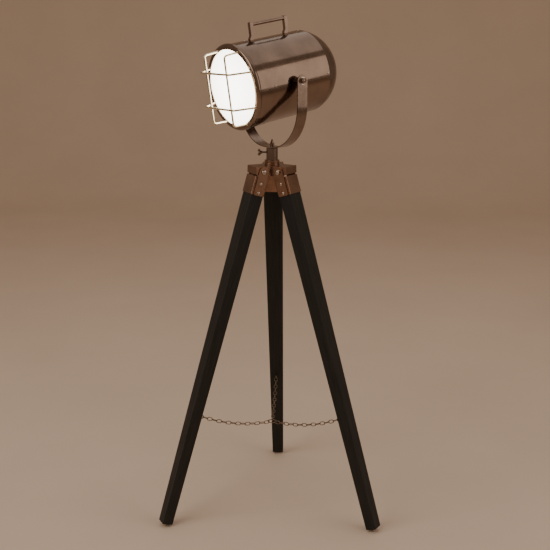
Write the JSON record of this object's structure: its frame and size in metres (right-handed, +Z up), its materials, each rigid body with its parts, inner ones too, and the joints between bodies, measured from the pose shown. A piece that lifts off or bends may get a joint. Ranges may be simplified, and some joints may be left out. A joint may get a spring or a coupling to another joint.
{
  "type": "tripod floor lamp",
  "caption": "Searchlight floor lamp: polished drum head with wire guard in a U yoke, on a hub with three folding black wooden legs held by spreader chains.",
  "frame": {"origin": "on the stand's axis at the floor, midway between the three feet", "axes": "+Z up along the stand's axis; the rear leg points to +Y, and the head at rest points to the lower left of a viewer who looks along +Y"},
  "size_m": [0.673, 0.5835, 1.5047],
  "materials": {
    "black_wood": "matte black paint",
    "nickel": "polished",
    "steel": "polished",
    "dark_steel": "dull",
    "reflector": "bright",
    "lens_glass": "frosted, lit",
    "rubber": "matte",
    "porcelain": "glazed",
    "bulb_glass": "frosted, lit",
    "brass": "bright"
  },
  "bodies": {
    "stand": {"hub": "nickel", "socket_tube": "nickel", "pan_washer": "brass", "chain_ring": "steel", "rear_chain": "steel", "left_chain": "steel", "right_chain": "steel"},
    "pan_lock": {"thumb_screw": "nickel"},
    "yoke": {"yoke": "nickel", "yoke_spigot": "nickel", "yoke_finial": "nickel"},
    "head": {"drum": "nickel", "rear_cap": "nickel", "rear_cap_screws": "nickel", "bezel": "nickel", "bezel_screws": "nickel", "lens": "lens_glass", "lens_gasket": "rubber", "lens_spacer": "steel", "guard_upright_near": "nickel", "guard_upright_far": "nickel", "guard_rail_upper": "nickel", "guard_rail_lower": "nickel", "handle_front_post": "nickel", "handle_rear_post": "nickel", "handle_grip": "nickel", "handle_screws": "steel", "tilt_studs": "steel", "tilt_bushes": "nickel", "tilt_washers": "nickel", "reflector": "reflector", "lampholder_stem": "steel", "stem_nuts": "steel", "lampholder": "porcelain", "bulb": "bulb_glass", "cable_gland": "nickel"},
    "knob_near": {"tilt_knob_near": "nickel"},
    "knob_far": {"tilt_knob_far": "nickel"},
    "rear_leg_body": {"rear_leg": "black_wood", "rear_leg_sleeve": "nickel", "rear_leg_straps": "nickel", "rear_strap_screws": "nickel", "rear_pivot_bolt": "nickel", "rear_foot_tip": "steel", "rear_chain_eye": "steel"},
    "left_leg_body": {"left_leg": "black_wood", "left_leg_sleeve": "nickel", "left_leg_straps": "nickel", "left_strap_screws": "nickel", "left_pivot_bolt": "nickel", "left_foot_tip": "steel", "left_chain_eye": "steel"},
    "right_leg_body": {"right_leg": "black_wood", "right_leg_sleeve": "nickel", "right_leg_straps": "nickel", "right_strap_screws": "nickel", "right_pivot_bolt": "nickel", "right_foot_tip": "steel", "right_chain_eye": "steel"}
  },
  "joints": [
    {"name": "rear_leg_fold", "type": "hinge", "parent": "stand", "child": "rear_leg_body", "pos_m": [0, 0.0422, 1.064], "axis": [-1, 0, 0], "range_deg": [0, 17], "deforming": ["rear_chain"]},
    {"name": "left_leg_fold", "type": "hinge", "parent": "stand", "child": "left_leg_body", "pos_m": [-0.03655, -0.0211, 1.064], "axis": [0.5, -0.866, 0], "range_deg": [0, 17], "deforming": ["left_chain"]},
    {"name": "right_leg_fold", "type": "hinge", "parent": "stand", "child": "right_leg_body", "pos_m": [0.03655, -0.0211, 1.064], "axis": [0.5, 0.866, 0], "range_deg": [0, 17], "deforming": ["right_chain"]},
    {"name": "pan_lock_turn", "type": "hinge", "parent": "stand", "child": "pan_lock", "pos_m": [-0.03595, -0.00188, 1.1165], "axis": [-0.9986, -0.0523, 0], "range_deg": [0, 270]},
    {"name": "head_pan", "type": "hinge", "parent": "stand", "child": "yoke", "pos_m": [0, 0, 1.1315], "axis": [0, 0, 1], "continuous": true},
    {"name": "head_tilt", "type": "hinge", "parent": "yoke", "child": "head", "pos_m": [0, 0, 1.3287], "axis": [-0.6494, 0.7604, 0], "range_deg": [-34, 50]},
    {"name": "near_knob_turn", "type": "hinge", "parent": "head", "child": "knob_near", "pos_m": [0.09222, -0.10798, 1.3287], "axis": [0.6494, -0.7604, 0], "range_deg": [0, 270]},
    {"name": "far_knob_turn", "type": "hinge", "parent": "head", "child": "knob_far", "pos_m": [-0.09222, 0.10798, 1.3287], "axis": [-0.6494, 0.7604, 0], "range_deg": [0, 270]}
  ]
}
